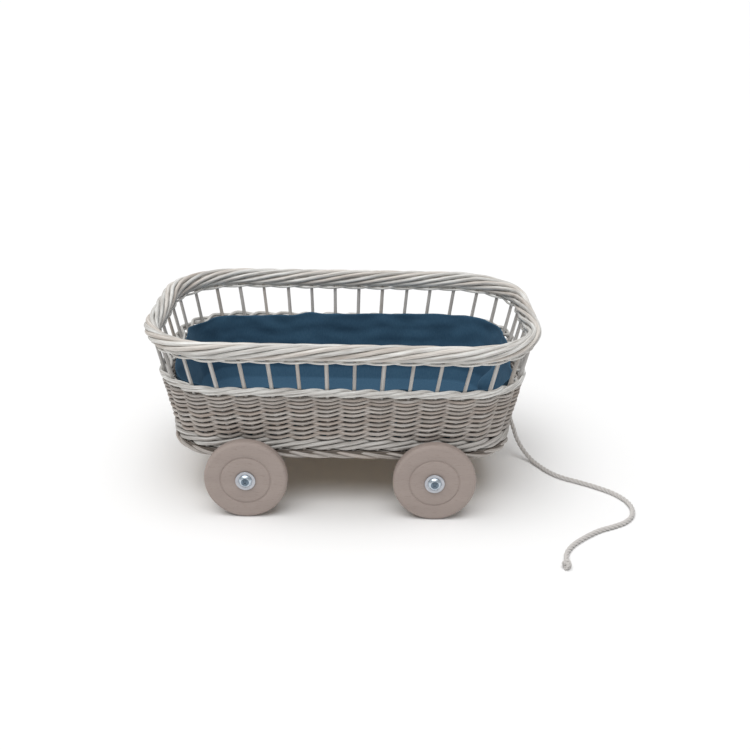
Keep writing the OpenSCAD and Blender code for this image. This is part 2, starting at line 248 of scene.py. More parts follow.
# Planed pine for the axle bars: yellowish wood with darker late-wood lines along the bar.
def planed_pine():
    material, tree, out = new_material("planed pine")
    place = add(tree, "ShaderNodeTexCoord").outputs["Object"]
    stretch = add(tree, VECTOR_MATH, place, (1.0, 0.04, 1.0), operation="MULTIPLY")
    rings = add(tree, "ShaderNodeTexNoise", stretch, 240.0, 4.0, 0.55)
    line = add(tree, "ShaderNodeMapRange", rings, 0.42, 0.6, 0.0, 1.0)
    tone = add(tree, "ShaderNodeMix", line, linear("C3B09A"), linear("9C866F"), data_type="RGBA")
    bump = add(tree, "ShaderNodeBump", named={"Strength": 0.25, "Distance": 0.2 * MM, "Height": rings})
    shader = add(tree, "ShaderNodeBsdfPrincipled",
                 named={"Base Color": tone, "Roughness": 0.66, "Normal": bump, "Specular IOR Level": 0.3})
    to_surface(tree, shader, out)
    return material


# Thin birch plywood: a bare, pale underside; the top and the sawn edge are painted dark grey-brown as
# painted shade of the gap under the wale, with three plies at the sawn edge.
def birch_plywood():
    material, tree, out = new_material("birch plywood")
    place = add(tree, "ShaderNodeTexCoord").outputs["Object"]
    stretch = add(tree, VECTOR_MATH, place, (0.05, 1.0, 1.0), operation="MULTIPLY")
    grain = add(tree, "ShaderNodeTexNoise", stretch, 420.0, 4.0, 0.6)
    height = add(tree, "ShaderNodeSeparateXYZ", place).outputs["Z"]
    from_foot = add(tree, MATH, height, foot_hi.z, operation="SUBTRACT")
    middle = add(tree, MATH, from_foot, 2 * MM, 0.7 * MM, operation="COMPARE")
    tone = add(tree, "ShaderNodeMix", grain, linear("CDBA9D"), linear("B49F82"), data_type="RGBA")
    # Painted shade: the plies' dark grey-brown stands for the shadow in the gap under the wale.
    painted_shade_plies = add(tree, "ShaderNodeMix", middle, linear("6F665E"), linear("57504A"), data_type="RGBA")
    # The top and the sawn edge are painted dark grey-brown, painted shade for the shadowed gap below the
    # wale, and the underside is left bare.
    facing = add(tree, "ShaderNodeSeparateXYZ", add(tree, "ShaderNodeNewGeometry").outputs["Normal"])
    underside = add(tree, MATH, facing.outputs["Z"], -0.7, operation="LESS_THAN")
    board = add(tree, "ShaderNodeMix", underside, painted_shade_plies, tone, data_type="RGBA")
    bump = add(tree, "ShaderNodeBump", named={"Strength": 0.2, "Distance": 0.1 * MM, "Height": grain})
    shader = add(tree, "ShaderNodeBsdfPrincipled",
                 named={"Base Color": board, "Roughness": 0.6, "Normal": bump, "Specular IOR Level": 0.3})
    to_surface(tree, shader, out)
    return material


# Denim-blue cotton, plain weave, washed soft: threads 0.5 mm apart, drawn at 1 mm so that they show.
def blue_cotton():
    material, tree, out = new_material("washed blue cotton")
    uv = add(tree, "ShaderNodeTexCoord").outputs["UV"]
    parts = add(tree, "ShaderNodeSeparateXYZ", uv)
    turn = 2 * math.pi / (1.0 * MM)
    warp = add(tree, MATH, add(tree, MATH, parts.outputs["X"], turn,
               operation="MULTIPLY"), operation="SINE")
    weft = add(tree, MATH, add(tree, MATH, parts.outputs["Y"], turn,
               operation="MULTIPLY"), operation="SINE")
    weave = add(tree, MATH, warp, weft, operation="MULTIPLY")
    slub_at = add(tree, VECTOR_MATH, uv, (1.0, 0.35, 1.0), operation="MULTIPLY")
    slub = add(tree, "ShaderNodeTexNoise", slub_at, 600.0, 2.0, 0.6)
    fade = add(tree, "ShaderNodeTexNoise", uv, 14.0, 3.0, 0.6)
    base = add(tree, "ShaderNodeMix", fade, linear("27445C"), linear("355870"), data_type="RGBA")
    streak = add(tree, "ShaderNodeMapRange", slub, 0.35, 0.7, 0.0, 0.16)
    streaked = add(tree, "ShaderNodeMix", streak, base, linear("58798E"), data_type="RGBA")
    height = add(tree, MATH, slub, 1.5, weave, operation="MULTIPLY_ADD")
    bump = add(tree, "ShaderNodeBump", named={"Strength": 0.3, "Distance": 0.12 * MM, "Height": height})
    shader = add(tree, "ShaderNodeBsdfPrincipled",
                 named={"Base Color": streaked, "Roughness": 0.85, "Normal": bump,
                        "Specular IOR Level": 0.2, "Sheen Weight": 0.2, "Sheen Roughness": 0.5})
    shader.inputs["Sheen Tint"].default_value = linear("9FC4E0")
    to_surface(tree, shader, out)
    return material


# Laid cotton rope, undyed: soft and matt, with fine yarns that wind along each strand.
def cotton_rope():
    material, tree, out = new_material("laid cotton rope")
    grain = add(tree, "ShaderNodeAttribute", attribute_name="grain")
    parts = add(tree, "ShaderNodeSeparateXYZ", grain.outputs["Vector"])
    skin = add(tree, "ShaderNodeAttribute", attribute_name="skin")
    side = add(tree, "ShaderNodeSeparateXYZ", skin.outputs["Vector"])
    angle = add(tree, MATH, side.outputs["Y"], side.outputs["X"], operation="ARCTAN2")
    # Eight yarns go round each strand, and wind once in 9 mm.
    wind = add(tree, MATH, parts.outputs["X"], 2 * math.pi / (9 * MM), angle,
               operation="MULTIPLY_ADD")
    yarns = add(tree, MATH, wind, 8.0, operation="MULTIPLY")
    yarn = add(tree, MATH, yarns, operation="SINE")
    place = add(tree, "ShaderNodeTexCoord").outputs["Object"]
    fuzz = add(tree, "ShaderNodeTexNoise", place, 1800.0, 3.0, 0.6)
    # Painted shade: the grooves between the yarns are drawn darker.
    tone = add(tree, "ShaderNodeMapRange", yarn, -1.0, 1.0, 0.35, 0.0)
    base = add(tree, "ShaderNodeMix", tone, linear("D0CDCA"), linear("A39E99"), data_type="RGBA")
    height = add(tree, MATH, fuzz, 1.2, yarn, operation="MULTIPLY_ADD")
    bump = add(tree, "ShaderNodeBump", named={"Strength": 0.4, "Distance": 0.15 * MM, "Height": height})
    shader = add(tree, "ShaderNodeBsdfPrincipled",
                 named={"Base Color": base, "Roughness": 0.9, "Normal": bump,
                        "Specular IOR Level": 0.15, "Sheen Weight": 0.25, "Sheen Roughness": 0.6})
    to_surface(tree, shader, out)
    return material


# ---------------------------------------------------------------- camera
camera_data = bpy.data.cameras.new("camera")
camera = bpy.data.objects.new("camera", camera_data)
bpy.context.scene.collection.objects.link(camera)
bpy.context.scene.camera = camera
camera_data.sensor_width = 36
camera_data.lens = 48.7
camera_data.clip_end = 20
camera.location = (0.0317, -1.2205, 0.6313)
YAW, PITCH, ROLL = 0.0070, 0.3914, 0.0196
forward = Vector((math.sin(YAW) * math.cos(PITCH), math.cos(YAW) * math.cos(PITCH), -math.sin(PITCH)))
aim = forward.to_track_quat("-Z", "Y").to_euler()
aim.rotate_axis("Z", ROLL)
camera.rotation_euler = aim


# ---------------------------------------------------------------- pull rope
ROPE_ROUTE_MM = [
    [191.5, 33, 102], [200, 33, 93.5], [210.5, 33, 83], [215.5, 33, 77.5], [219.5, 33, 71], [222.5, 33, 64],
    [224.5, 33, 57], [227, 33, 49], [230.5, 32, 40], [234, 30, 30], [239, 25.5, 20], [246, 18, 11],
    [254, 7.5, 5], [262, -6, 3.1], [270, -20, 3.1], [279, -32, 3.1], [291, -42, 3.1], [308, -52, 3.1],
    [328, -65, 3.1], [346, -80, 3.1], [358, -98, 3.1], [362, -118, 3.1], [357, -138, 3.1], [345, -153, 3.1],
    [329, -163, 3.1], [310, -173, 3.1], [291, -188, 3.1], [274, -205, 3.1], [263, -223, 3.1],
    [259, -243, 3.1],
]
ROPE_STEP = 1.5 * MM
ROPE_STRANDS = 3
ROPE_LAY = 19 * MM  # one strand winds once round in this length
STRAND_R = 1.4 * MM
STRAND_OFF = 1.62 * MM


def smooth_route(points, step):
    """A Catmull-Rom curve through the points, with a point about every step."""
    route = [Vector(p) * MM for p in points]
    ends = [2 * route[0] - route[1], *route, 2 * route[-1] - route[-2]]
    smooth = []
    for before, a, b, after in zip(ends, ends[1:], ends[2:], ends[3:]):
        pieces = max(1, round((b - a).length / step))
        for i in range(pieces):
            t = i / pieces
            smooth.append((2 * a + (b - before) * t + (2 * before - 5 * a + 4 * b - after) * t * t
                           + (3 * a - before - 3 * b + after) * t ** 3) / 2)
    return smooth + [route[-1]]


def strands_tree():
    """Strands wound round a curve, as in laid rope, with yarn directions for the material."""
    tree, given, result = new_tree("laid strands", [
        ("Geometry", "Geometry"), ("Strands", "Int", 3), ("Lay", "Float", 0.02), ("Offset", "Float", 0.002),
        ("Strand Radius", "Float", 0.001), ("Sides", "Int", 8), ("Material", "Material")])
    curve = add(tree, "GeometryNodeMeshToCurve", given.outputs["Geometry"])
    core = add(tree, "GeometryNodeSetCurveNormal", curve, mode="MINIMUM_TWIST")
    copies = add(tree, "GeometryNodeDuplicateElements", core, None, given.outputs["Strands"],
                 domain="SPLINE")
    length = add(tree, "GeometryNodeSplineParameter").outputs["Length"]
    turns = add(tree, MATH, length, given.outputs["Lay"], operation="DIVIDE")
    share = add(tree, MATH, copies.outputs["Duplicate Index"], given.outputs["Strands"],
                operation="DIVIDE")
    whole = add(tree, MATH, turns, share, operation="ADD")
    angle = add(tree, MATH, whole, 2 * math.pi, operation="MULTIPLY")
    tangent = add(tree, "GeometryNodeInputTangent")
    normal = add(tree, "GeometryNodeInputNormal")
    across = add(tree, VECTOR_MATH, tangent, normal, operation="CROSS_PRODUCT")
    one = add(tree, VECTOR_MATH, normal,
              add(tree, MATH, angle, operation="COSINE"), operation="SCALE")
    two = add(tree, VECTOR_MATH, across,
              add(tree, MATH, angle, operation="SINE"), operation="SCALE")
    aside = add(tree, VECTOR_MATH, add(tree, VECTOR_MATH, one, two, operation="ADD"),
                given.outputs["Offset"], operation="SCALE")
    laid = add(tree, "GeometryNodeSetPosition", copies.outputs["Geometry"], None, None, aside)
    tint = add(tree, "FunctionNodeRandomValue", 0.0, 1.0, copies.outputs["Duplicate Index"], 4,
               data_type="FLOAT")
    mark = add(tree, "ShaderNodeCombineXYZ", length, tint, 0.0)
    marked = add(tree, "GeometryNodeStoreNamedAttribute", laid, None, "grain", mark,
                 data_type="FLOAT_VECTOR", domain="POINT")
    ring = add(tree, "GeometryNodeCurvePrimitiveCircle", given.outputs["Sides"], 1.0, mode="RADIUS")
    skinned = add(tree, "GeometryNodeStoreNamedAttribute", ring, None, "skin",
                  add(tree, "GeometryNodeInputPosition"), data_type="FLOAT_VECTOR", domain="POINT")
    tube = add(tree, "GeometryNodeCurveToMesh", marked, skinned, given.outputs["Strand Radius"], True)
    smooth = add(tree, "GeometryNodeSetShadeSmooth", tube, None, True, domain="FACE")
    real = add(tree, "GeometryNodeRealizeInstances", smooth)
    finished = add(tree, "GeometryNodeSetMaterial", real, None, given.outputs["Material"])
    tree.links.new(finished.outputs[0], result.inputs[0])
    return tree


rope_material = cotton_rope()
laid_strands = strands_tree()
rope_path = smooth_route(ROPE_ROUTE_MM, ROPE_STEP)
rope_line = line_object("rope_line", rope_path)
rope = grown("cotton_pull_rope", rope_line, laid_strands, strands=ROPE_STRANDS, lay=ROPE_LAY,
             offset=STRAND_OFF, strand_radius=STRAND_R, sides=10, material=rope_material)
bpy.data.objects.remove(rope_line)
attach(rope, WAGON)
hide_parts("pull_rope")


def knot_line(centre, width, height):
    """A tight trefoil round a centre, which a short stretch of rope is wound along."""
    points = []
    for i in range(72):
        t = i / 72 * 2 * math.pi
        points.append(Vector(centre) + Vector((
            (math.sin(t) + 2 * math.sin(2 * t)) / 3 * width,
            (math.cos(t) - 2 * math.cos(2 * t)) / 3 * width,
            -math.sin(3 * t) * height)))
    return points


def tied_knot(name, node, thick):
    """A knot tied in the rope, filling the CAD knot's box."""
    lo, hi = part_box(node)
    centre = (lo + hi) / 2
    reach = (hi.x - lo.x) / 2 - thick / 2
    line = line_object(name + "_line", knot_line(centre, reach, (hi.z - lo.z) / 2 - thick / 2), closed=True)
    made = grown(name, line, laid_strands, strands=3, lay=ROPE_LAY * 0.6, offset=thick * 0.26,
                 strand_radius=thick * 0.24, sides=8, material=rope_material)
    bpy.data.objects.remove(line)
    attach(made, WAGON)
    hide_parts(node)
    return made


stop_knot = tied_knot("rope_stop_knot_tied", "rope_stop_knot", 5.4 * MM)
end_knot = tied_knot("rope_end_knot_tied", "rope_end_knot", 4.4 * MM)


# ---------------------------------------------------------------- willow work
rim_willow = whitewashed_willow("whitewashed willow border", "E9E9E6", "BBB6B0", "77726B", "C4B2A2")
wall_willow = whitewashed_willow("whitewashed willow wall", "C8C3BE", "A0978F", "5A524C", "AF9F93")
wale_willow = whitewashed_willow("whitewashed willow wale", "DCDAD6", "ACA6A0", "66605A", "B5A79B")
stake_willow = whitewashed_willow("whitewashed willow stakes", "CBC9C6", "ABA6A1", "6E6863", "BBAEA0")


def wrap_tree():
    """Bends rods drawn flat (stakes passed, in or out, height) round the basket's plan.

    The stakes share out the way round evenly at every height, so rods and stakes fan out together.
    """
    tree, given, result = new_tree("wrap round the basket", [
        ("Rods", "Geometry"), ("Along", "Float"), ("Out", "Float"), ("Height", "Float")])
    level = add(tree, MATH, given.outputs["Height"], bend_z, operation="MAXIMUM")
    radius = add(tree, MATH, level, LEAN, stake_radius(0) - bend_z * LEAN, operation="MULTIPLY_ADD")
    arc_run = add(tree, MATH, radius, math.pi / 2, operation="MULTIPLY")
    quarter = add(tree, MATH, arc_run, CORNER_X + CORNER_Y, operation="ADD")
    from_front = add(tree, MATH, given.outputs["Along"], 0.5, operation="ADD")
    turns = add(tree, MATH, from_front, float(STAKES), operation="DIVIDE")
    lap = add(tree, MATH, turns, 2 * math.pi, operation="MULTIPLY")
    front = add(tree, MATH, add(tree, MATH, lap, operation="COSINE"), operation="SIGN")
    left = add(tree, MATH, add(tree, MATH, lap, operation="SINE"), operation="SIGN")
    quarters = add(tree, MATH, turns, 4.0, operation="MULTIPLY")
    share = add(tree, MATH, quarters, 1.0, operation="PINGPONG")
    run = add(tree, MATH, share, quarter, -CORNER_Y, operation="MULTIPLY_ADD")
    angle = add(tree, "ShaderNodeClamp", add(tree, MATH, run, radius, operation="DIVIDE"),
                0.0, math.pi / 2)
    past_arc = add(tree, MATH, add(tree, MATH, run, arc_run, operation="SUBTRACT"), 0.0,
                   operation="MAXIMUM")
    before_arc = add(tree, MATH, run, 0.0, operation="MINIMUM")
    reach = add(tree, MATH, radius, given.outputs["Out"], operation="ADD")
    x_turned = add(tree, MATH, add(tree, MATH, angle, operation="COSINE"), reach, CORNER_X,
                   operation="MULTIPLY_ADD")
    y_turned = add(tree, MATH, add(tree, MATH, angle, operation="SINE"), reach, CORNER_Y,
                   operation="MULTIPLY_ADD")
    x = add(tree, MATH, add(tree, MATH, x_turned, past_arc, operation="SUBTRACT"), front,
            operation="MULTIPLY")
    y = add(tree, MATH, add(tree, MATH, y_turned, before_arc, operation="ADD"), left,
            operation="MULTIPLY")
    there = add(tree, "ShaderNodeCombineXYZ", x, y, given.outputs["Height"])
    moved = add(tree, "GeometryNodeSetPosition", given.outputs["Rods"], None, there)
    tree.links.new(moved.outputs[0], result.inputs[0])
    return tree


def skin_tree():
    """Gives rods their thickness, their grain marks and their finish."""
    tree, given, result = new_tree("skin the rods", [
        ("Rods", "Geometry"), ("Radius", "Float"), ("Sides", "Int", 8), ("Rod", "Int"), ("Seed", "Int"),
        ("Material", "Material")])
    length = add(tree, "GeometryNodeSplineParameter").outputs["Length"]
    own = add(tree, "FunctionNodeRandomValue", (0, 0, 0), (1, 1, 1), given.outputs["Rod"],
              given.outputs["Seed"], data_type="FLOAT_VECTOR")
    parts = add(tree, "ShaderNodeSeparateXYZ", next(o for o in own.outputs if o.enabled))
    start = add(tree, MATH, parts.outputs["X"], 3.0, length, operation="MULTIPLY_ADD")
    mark = add(tree, "ShaderNodeCombineXYZ", start, parts.outputs["Y"], parts.outputs["Z"])
    marked = add(tree, "GeometryNodeStoreNamedAttribute", given.outputs["Rods"], None, "grain", mark,
                 data_type="FLOAT_VECTOR", domain="POINT")
    ring = add(tree, "GeometryNodeCurvePrimitiveCircle", given.outputs["Sides"], 1.0, mode="RADIUS")
    skinned = add(tree, "GeometryNodeStoreNamedAttribute", ring, None, "skin",
                  add(tree, "GeometryNodeInputPosition"), data_type="FLOAT_VECTOR", domain="POINT")
    tube = add(tree, "GeometryNodeCurveToMesh", marked, skinned, given.outputs["Radius"], True)
    smooth = add(tree, "GeometryNodeSetShadeSmooth", tube, None, True, domain="FACE")
    real = add(tree, "GeometryNodeRealizeInstances", smooth)
    finished = add(tree, "GeometryNodeSetMaterial", real, None, given.outputs["Material"])
    tree.links.new(finished.outputs[0], result.inputs[0])
    return tree


WRAP = wrap_tree()
SKIN = skin_tree()
EARLY_CLIMB = 0.15  # the wall's rods climb this much faster than average where they start
COMMON = [("Geometry", "Geometry"), ("Rods", "Int", 4), ("Steps", "Int", 10), ("Bottom", "Float"),
          ("Top", "Float"), ("Reach", "Float"), ("Radius", "Float"), ("Uneven", "Float", 2 * MM),
          ("Seed", "Int"), ("Material", "Material")]


def rods_start(tree, given, count):
    """Flat rods to shape: each a line of points, copied once for each rod."""
    line = add(tree, "GeometryNodeMeshLine", count, mode="OFFSET", count_mode="TOTAL")
    line.inputs["Offset"].default_value = (0, 0, 0)
    curve = add(tree, "GeometryNodeMeshToCurve", line)
    return add(tree, "GeometryNodeDuplicateElements", curve, None, given.outputs["Rods"], domain="SPLINE")


def rods_end(tree, given, result, rods, along, out, height, radius, rod):
    """Adds a little unevenness, wraps the rods round the basket and gives them their skin."""
    where = add(tree, "ShaderNodeCombineXYZ", along, rod, given.outputs["Seed"])
    ripple = add(tree, "ShaderNodeTexNoise", where, 0.9, 1.0, 0.5)
    shake = add(tree, VECTOR_MATH, ripple.outputs["Color"], (0.5, 0.5, 0.5), operation="SUBTRACT")
    parts = add(tree, "ShaderNodeSeparateXYZ", shake)
    uneven_out = add(tree, MATH, parts.outputs["X"], given.outputs["Uneven"], out,
                     operation="MULTIPLY_ADD")
    uneven_height = add(tree, MATH, parts.outputs["Y"], given.outputs["Uneven"], height,
                        operation="MULTIPLY_ADD")
    wrapped = add(tree, "GeometryNodeGroup", node_tree=WRAP)
    for label, value in (("Rods", rods), ("Along", along), ("Out", uneven_out.outputs[0]),
                         ("Height", uneven_height.outputs[0])):
        tree.links.new(value, wrapped.inputs[label])
    skinned = add(tree, "GeometryNodeGroup", node_tree=SKIN)
    skinned.inputs["Sides"].default_value = 8
    for label, value in (("Rods", wrapped.outputs[0]), ("Radius", radius), ("Rod", rod),
                         ("Seed", given.outputs["Seed"]), ("Material", given.outputs["Material"])):
        tree.links.new(value, skinned.inputs[label])
    tree.links.new(skinned.outputs[0], result.inputs[0])


def randed_tree():
    """French randing: a rod starts at each stake, and rises as it passes behind and in front of others."""
    tree, given, result = new_tree("randed wall", COMMON + [
        ("Span", "Int", 20), ("Tip", "Float"), ("Dip", "Float")])
    steps = add(tree, MATH, given.outputs["Span"], given.outputs["Steps"], operation="MULTIPLY")
    count = add(tree, MATH, steps, 1.0, operation="ADD")
    rods = rods_start(tree, given, count)
    rod = rods.outputs["Duplicate Index"]
    index = add(tree, "GeometryNodeSplineParameter").outputs["Index"]
    passed = add(tree, MATH, index, given.outputs["Steps"], operation="DIVIDE")
    along = add(tree, MATH, passed, rod, operation="ADD")
    swing = add(tree, MATH, passed, math.pi, operation="MULTIPLY")
    side = add(tree, MATH, swing, operation="COSINE")
    inward = add(tree, MATH, side, -1.0, operation="MULTIPLY")
    out = add(tree, MATH, inward, given.outputs["Reach"], operation="MULTIPLY")
    share = add(tree, MATH, index, steps, operation="DIVIDE")
    # The rods thin towards their tips, so the upper rows lie closer together.
    late = add(tree, MATH, share, 3.0, operation="POWER")
    early = add(tree, MATH, share, 1.0 + EARLY_CLIMB, operation="MULTIPLY")
    climb = add(tree, MATH, late, -EARLY_CLIMB, early, operation="MULTIPLY_ADD")
    steady = add(tree, "ShaderNodeMapRange", climb, 0.0, 1.0, given.outputs["Bottom"], given.outputs["Top"])
    # A rod lies lower in front of a stake and higher behind one.
    height = add(tree, MATH, side, given.outputs["Dip"], steady, operation="MULTIPLY_ADD")
    radius = add(tree, "ShaderNodeMapRange", share, 0.0, 1.0, given.outputs["Radius"], given.outputs["Tip"])
    rods_end(tree, given, result, rods.outputs["Geometry"], along.outputs[0], out.outputs[0],
             height.outputs[0], radius.outputs[0], rod)
    return tree


def closed_rods(tree, given):
    """Rods that go right round the basket: the curves, the rod numbers and the stakes passed."""
    laps = add(tree, MATH, given.outputs["Laps"], float(STAKES), operation="MULTIPLY")
    count = add(tree, MATH, laps, given.outputs["Steps"], operation="MULTIPLY")
    rods = rods_start(tree, given, count)
    loops = add(tree, "GeometryNodeSetSplineCyclic", rods.outputs["Geometry"], None, True)
    index = add(tree, "GeometryNodeSplineParameter").outputs["Index"]
    along = add(tree, MATH, index, given.outputs["Steps"], operation="DIVIDE")
    return loops.outputs[0], rods.outputs["Duplicate Index"], along


def waled_tree():
    """Waling: each rod rises in front of all but one stake of its period, and drops behind that one."""
    tree, given, result = new_tree("waled band", COMMON + [("Laps", "Int", 1), ("Period", "Int", 4)])
    loops, rod, along = closed_rods(tree, given)
    phase = add(tree, MATH, along, rod, operation="SUBTRACT")
    half = add(tree, MATH, given.outputs["Period"], 2.0, operation="DIVIDE")
    near = add(tree, MATH, phase, half, operation="PINGPONG")
    back = add(tree, MATH, given.outputs["Reach"], -0.85, operation="MULTIPLY")
    out = add(tree, "ShaderNodeMapRange", near, 0.1, 0.8, back, given.outputs["Reach"],
              interpolation_type="SMOOTHSTEP")
    late = add(tree, MATH, phase, -0.3, operation="ADD")
    stroke = add(tree, MATH, late, given.outputs["Period"], operation="FLOORED_MODULO")
    crest = add(tree, MATH, given.outputs["Period"], -0.95, operation="ADD")
    rise = add(tree, "ShaderNodeMapRange", stroke, 0.0, crest, 0.0, 1.0)
    drop = add(tree, "ShaderNodeMapRange", stroke, crest, given.outputs["Period"], 0.0, 1.0,
               interpolation_type="SMOOTHSTEP")
    level = add(tree, MATH, rise, drop, operation="SUBTRACT")
    height = add(tree, "ShaderNodeMapRange", level, 0.0, 1.0, given.outputs["Bottom"], given.outputs["Top"])
    rods_end(tree, given, result, loops, along.outputs[0], out.outputs[0], height.outputs[0],
             given.outputs["Radius"], rod)
    return tree


def twisted_tree():
    """A border of strands that wind round one another along the top or the foot of the basket."""
    tree, given, result = new_tree("twisted border", COMMON + [
        ("Laps", "Int", 1), ("Turn", "Float", 8.0), ("Spacing", "Float", 1.0)])
    loops, rod, along = closed_rods(tree, given)
    shift = add(tree, MATH, rod, given.outputs["Spacing"], along, operation="MULTIPLY_ADD")
    turns = add(tree, MATH, shift, given.outputs["Turn"], operation="DIVIDE")
    angle = add(tree, MATH, turns, 2 * math.pi, operation="MULTIPLY")
    out = add(tree, MATH, add(tree, MATH, angle, operation="COSINE"),
              given.outputs["Reach"], operation="MULTIPLY")
    level = add(tree, MATH, angle, operation="SINE")
    height = add(tree, "ShaderNodeMapRange", level, -1.0, 1.0, given.outputs["Bottom"],
                 given.outputs["Top"])
    rods_end(tree, given, result, loops, along.outputs[0], out.outputs[0], height.outputs[0],
             given.outputs["Radius"], rod)
    return tree


def stakes_tree():
    """The upright stakes, one at each whole number along the guide."""
    tree, given, result = new_tree("stakes", COMMON + [("Tip", "Float")])
    rods = rods_start(tree, given, given.outputs["Steps"])
    rod = rods.outputs["Duplicate Index"]
    index = add(tree, "GeometryNodeSplineParameter").outputs["Index"]
    last = add(tree, MATH, given.outputs["Steps"], -1.0, operation="ADD")
    share = add(tree, MATH, index, last, operation="DIVIDE")
    height = add(tree, "ShaderNodeMapRange", share, 0.0, 1.0, given.outputs["Bottom"], given.outputs["Top"])
    own = add(tree, "FunctionNodeRandomValue", -0.03, 0.03, rod, given.outputs["Seed"], data_type="FLOAT")
    tilt = add(tree, MATH, share, own, operation="MULTIPLY")
    along = add(tree, MATH, tilt, rod, operation="ADD")
    thick = add(tree, "FunctionNodeRandomValue", 0.9, 1.12, rod, 5, data_type="FLOAT")
    taper = add(tree, "ShaderNodeMapRange", share, 0.0, 1.0, given.outputs["Radius"], given.outputs["Tip"])
    radius = add(tree, MATH, taper, thick, operation="MULTIPLY")
    rods_end(tree, given, result, rods.outputs["Geometry"], along.outputs[0], given.outputs["Reach"],
             height.outputs[0], radius.outputs[0], rod)
    return tree


willow_host = line_object("willow_host", [(0, 0, 0), (0, 0, bend_z)])
RANDED, WALED, TWISTED, UPRIGHTS = randed_tree(), waled_tree(), twisted_tree(), stakes_tree()


def willow_piece(name, nodes, tree, **values):
    """One band of willow work, standing for its CAD nodes if it has any."""
    made = grown(name, willow_host, tree, **values)
    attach(made, WAGON)
    if nodes:
        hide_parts(*nodes)


willow_piece("willow_stakes", ["stakes_" + side for side in (
    "front", "rear", "left", "right", "front_left", "front_right", "rear_left", "rear_right")], UPRIGHTS,
    rods=STAKES, steps=26, bottom=foot_lo.z + 1.5 * MM, top=rim_mid_z + 2 * MM, reach=0.0,
    radius=2.6 * MM, tip=2.2 * MM, uneven=1.2 * MM, seed=11, material=stake_willow)
willow_piece("willow_wall", ["woven_wall"], RANDED, rods=STAKES, steps=10, span=20,
             bottom=lower_wale_hi.z + 0.5 * MM, top=upper_wale_lo.z - 0.5 * MM, reach=4.2 * MM,
             dip=1.2 * MM, radius=2.25 * MM, tip=1.65 * MM, seed=21, material=wall_willow)
willow_piece("willow_lower_wale", ["lower_wale"], WALED, rods=1, laps=3, period=3, steps=10,
             bottom=lower_wale_lo.z + 1.9 * MM, top=lower_wale_hi.z - 1.2 * MM, reach=4.4 * MM,
             radius=2.55 * MM, seed=31, material=wale_willow)
willow_piece("willow_upper_wale", ["upper_wale"], WALED, rods=1, laps=3, period=3, steps=10,
             bottom=upper_wale_lo.z + 1.0 * MM, top=upper_wale_hi.z - 2.3 * MM, reach=4.2 * MM,
             radius=2.2 * MM, uneven=1.4 * MM, seed=41, material=rim_willow)
willow_piece("willow_rim_pairing", ["rim_pairing"], TWISTED, rods=2, laps=1, turn=2.0, spacing=1.0,
             steps=10, bottom=pairing_lo.z + 1.4 * MM, top=pairing_hi.z - 0.6 * MM, reach=3.9 * MM,
             radius=1.5 * MM, uneven=1.2 * MM, seed=51, material=rim_willow)
willow_piece("willow_rim_border", ["rim_border"], TWISTED, rods=8, laps=1, turn=8.0, spacing=1.0, steps=8,
             bottom=rim_lo.z + 2.7 * MM, top=rim_hi.z - 2.7 * MM, reach=6.3 * MM,
             radius=2.7 * MM, seed=61, material=rim_willow)
# Rods in the heart of the rim keep daylight from showing between the outer ones.
willow_piece("willow_rim_core", [], TWISTED, rods=4, laps=1, turn=-8.0, spacing=2.0, steps=8,
             bottom=rim_lo.z + 7.5 * MM, top=rim_hi.z - 7.5 * MM, reach=2.2 * MM,
             radius=3.4 * MM, seed=63, material=wale_willow)
willow_piece("willow_foot_border", ["foot_border"], TWISTED, rods=4, laps=1, turn=-4.0, spacing=1.0,
             steps=10, bottom=foot_lo.z + 2.4 * MM, top=foot_hi.z + 2.6 * MM, reach=4.2 * MM,
             radius=2.4 * MM, uneven=1.0 * MM, seed=71, material=wall_willow)
bpy.data.objects.remove(willow_host)


# ---------------------------------------------------------------- cloth lining
lining_material = blue_cotton()
LINING_GAP = 7.4 * MM  # the cloth hangs this far inside the stakes' line
lining_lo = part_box("cloth_lining")[0]
WALL_ROWS, FLOOR_ROWS, CLOTH_STEP = 44, 46, 2.6 * MM
CLOTH_TOP = upper_wale_hi.z - 0.5 * MM
KNOT_AT = sum(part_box("rope_stop_knot"), Vector()) / 2
KNOT_SPREAD = 34 * MM
KNOT_LIFT = 22 * MM  # how far the cloth stands in at the middle of the knot
CLOTH_SLACK = 0.8 * MM
BROAD_FOLD, FINE_FOLD = 6 * MM, 2.4 * MM
HEM_WAVE = 2.5 * MM
FOOT_SHARE, FOOT_ROUND = 0.16, 9.6 * MM  # the lowest part of the wall curves in to the floor
FLOOR_RIPPLE = 2.2 * MM


def cloth_noise(at, scale, seed):
    return noise.noise(Vector(at) * scale + Vector((seed * 7.3, seed * 3.1, seed * 5.7)))


def knot_bulge(p, z):
    """How far the cloth stands in over the rope's knot, behind a point of the wall."""
    near = (Vector((p.x, p.y, z)) - KNOT_AT).length / KNOT_SPREAD
    return KNOT_LIFT / 2 * (1 + math.cos(math.pi * near)) if near < 1 and p.x > 0 else 0.0


def cloth_edge(p):
    """Height of the cloth's top edge over CLOTH_TOP: it slips down on the right and at the rear."""
    left = min(1, max(0, (p.y + 80 * MM) / (120 * MM)))
    ahead = min(1, max(0, (p.x + 120 * MM) / (120 * MM)))
    return (5.5 * left - 6.5 + 4.5 * ahead * left) * MM


